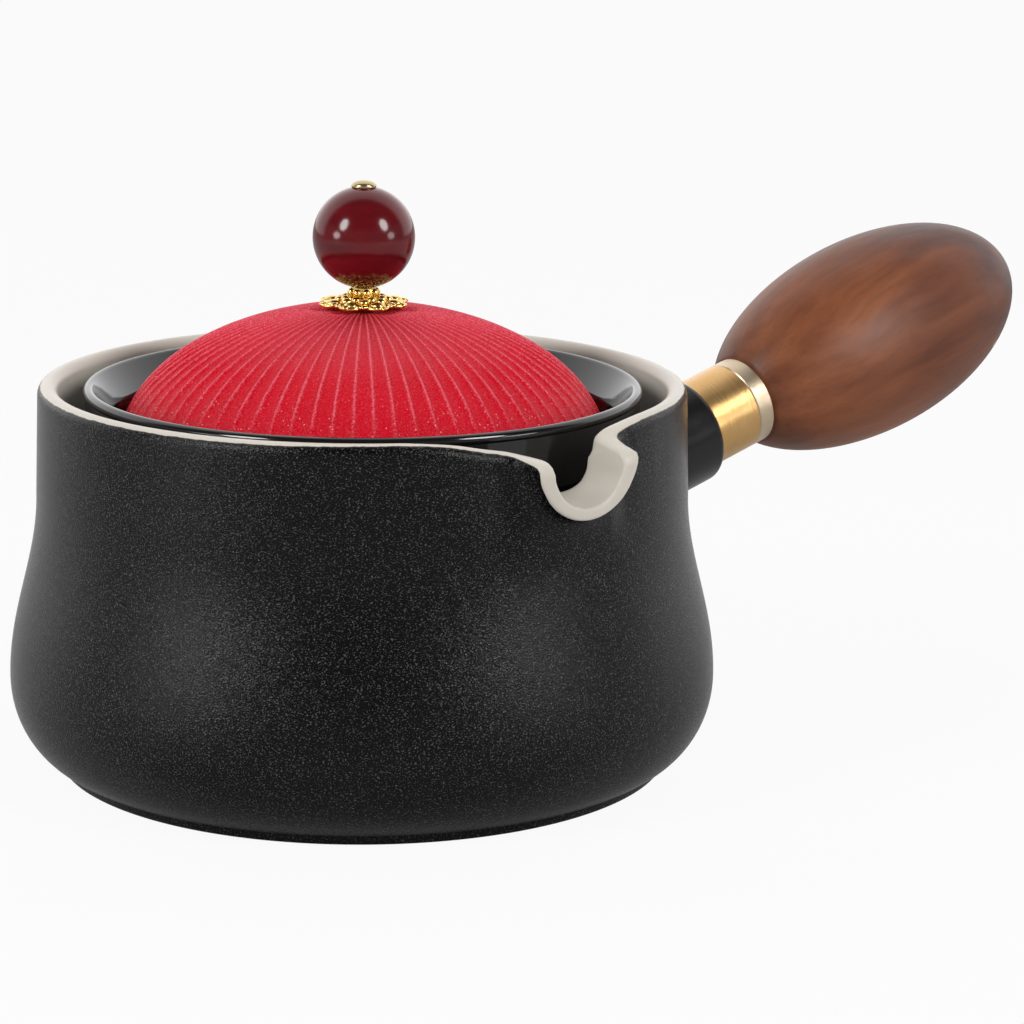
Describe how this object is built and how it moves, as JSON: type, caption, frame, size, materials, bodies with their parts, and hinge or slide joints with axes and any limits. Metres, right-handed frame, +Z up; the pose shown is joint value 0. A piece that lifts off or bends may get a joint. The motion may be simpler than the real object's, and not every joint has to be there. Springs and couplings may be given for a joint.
{
  "type": "side-handle teapot",
  "caption": "Round stoneware teapot with a pinched pouring spout, a drop-in infuser cup, a ribbed dome lid with a bead knob and a rising wooden side handle.",
  "frame": {"origin": "on the pot's vertical axis, in the plane of the foot ring's resting face", "axes": "+Z up along the pot's axis, +X towards the handle, the spout pours towards -Y"},
  "size_m": [0.1743, 0.0982, 0.0806],
  "materials": {
    "black_stoneware": "matte black glaze with a fine grain outside, cream glaze inside and on the rim",
    "black_gloss_glaze": "gloss",
    "red_glaze": "matte with a fine grain",
    "gold_filigree": "bright gold plating",
    "red_agate": "polished",
    "pin_brass": "satin",
    "washer_silicone": "matte",
    "bush_brass": "machined",
    "stud_steel": "zinc plated",
    "brushed_brass": "brushed",
    "champagne_metal": "satin plated",
    "walnut": "oiled satin"
  },
  "bodies": {
    "pot": {"pot_body": "black_stoneware", "socket_bush": "bush_brass", "handle_stud": "stud_steel", "ferrule_sleeve": "brushed_brass", "ferrule_ring": "champagne_metal", "handle_grip": "walnut"},
    "infuser_cup": {"infuser": "black_gloss_glaze"},
    "lid_with_knob": {"lid": "red_glaze", "flower_cap": "gold_filigree", "bead_cup": "gold_filigree", "knob_bead": "red_agate", "knob_pin": "pin_brass", "lid_washer": "washer_silicone", "lid_nut": "pin_brass"}
  },
  "joints": [
    {"name": "infuser_lift", "type": "slide", "parent": "pot", "child": "infuser_cup", "axis": [0, 0, 1], "range_m": [0, 0.06]},
    {"name": "lid_lift", "type": "slide", "parent": "infuser_cup", "child": "lid_with_knob", "axis": [0, 0, 1], "range_m": [0, 0.03]}
  ]
}
